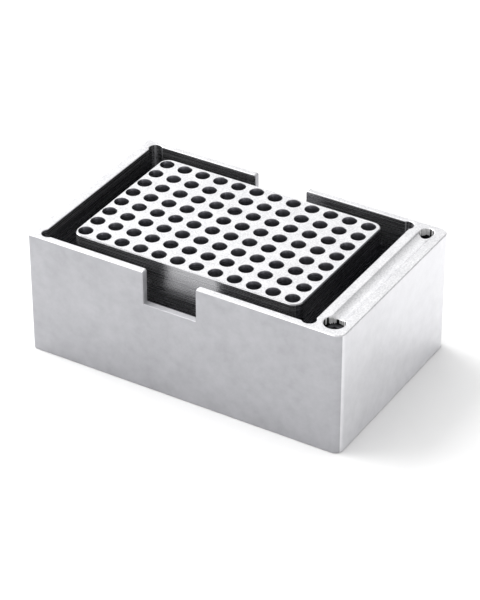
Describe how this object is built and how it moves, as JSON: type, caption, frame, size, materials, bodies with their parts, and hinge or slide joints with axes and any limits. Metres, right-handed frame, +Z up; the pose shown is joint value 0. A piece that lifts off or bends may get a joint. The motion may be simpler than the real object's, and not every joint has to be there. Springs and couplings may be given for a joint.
{
  "type": "thermal cycler well block",
  "caption": "Interchangeable machined aluminium block with a grid of tapered wells inside a deep plate channel, finger notches, a captive hold-down screw and a probe well.",
  "frame": {"origin": "centre of the base, on the face that the block rests on", "axes": "+X along the columns of wells, towards the ledge with the hold-down screw; +Y across, towards the rear long wall, on the probe well's side; +Z up"},
  "size_m": [0.1484, 0.0926, 0.057],
  "materials": {
    "block_aluminium": "satin, milled and bead blasted",
    "insert_aluminium": "fine milled",
    "graphite_foil": "matt graphite",
    "ground_steel": "ground",
    "black_oxide_steel": "black oxide",
    "spring_steel": "drawn wire",
    "stainless_steel": "turned"
  },
  "bodies": {
    "block": {"block_body": "block_aluminium", "well_insert": "insert_aluminium", "thermal_foil": "graphite_foil", "left_dowel": "ground_steel", "right_dowel": "ground_steel", "front_left_screw": "black_oxide_steel", "front_right_screw": "black_oxide_steel", "rear_left_screw": "black_oxide_steel", "rear_right_screw": "black_oxide_steel", "front_left_washer": "spring_steel", "front_right_washer": "spring_steel", "rear_left_washer": "spring_steel", "rear_right_washer": "spring_steel", "spring": "spring_steel"},
    "washer": {"thrust_washer": "stainless_steel"},
    "screw": {"hold_down_screw": "black_oxide_steel", "retaining_clip": "black_oxide_steel"}
  },
  "joints": [
    {"name": "screw_travel", "type": "slide", "parent": "block", "child": "washer", "axis": [0, 0, -1], "range_m": [0, 0.01], "stiffness_N_per_m": 600, "springref_m": -0.002, "deforming": ["spring"]},
    {"name": "screw_turn", "type": "hinge", "parent": "washer", "child": "screw", "pos_m": [0.0665, -0.038, 0.0486], "axis": [0, 0, 1], "continuous": true}
  ]
}
